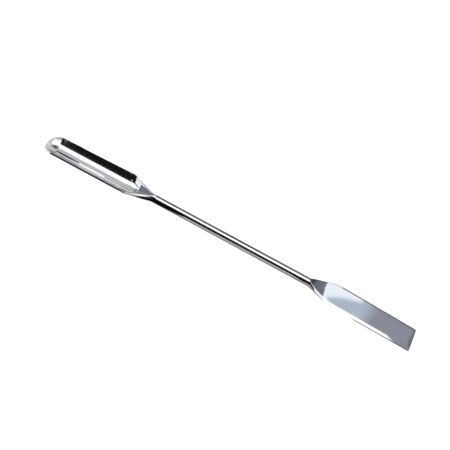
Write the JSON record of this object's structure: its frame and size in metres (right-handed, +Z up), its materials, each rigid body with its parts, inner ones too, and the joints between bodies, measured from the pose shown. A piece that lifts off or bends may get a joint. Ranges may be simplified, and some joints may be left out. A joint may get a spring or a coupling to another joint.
{
  "type": "double-ended laboratory spatula",
  "caption": "Slender steel hand tool with a round rod, a shallow round-toed trough at one end and a flat square-ended blade at the other, for scooping and spreading powders.",
  "frame": {"origin": "on the rod's axis, at the middle of its round length", "axes": "+X along the rod towards the flat blade, +Z up out of the trough's open side, +Y to the left seen from the rod towards the blade"},
  "size_m": [0.185, 0.013, 0.0046],
  "materials": {
    "polished_steel": "polished stainless steel with fine lines along the rod"
  },
  "bodies": {
    "root": {"spatula": "polished_steel"}
  },
  "joints": []
}
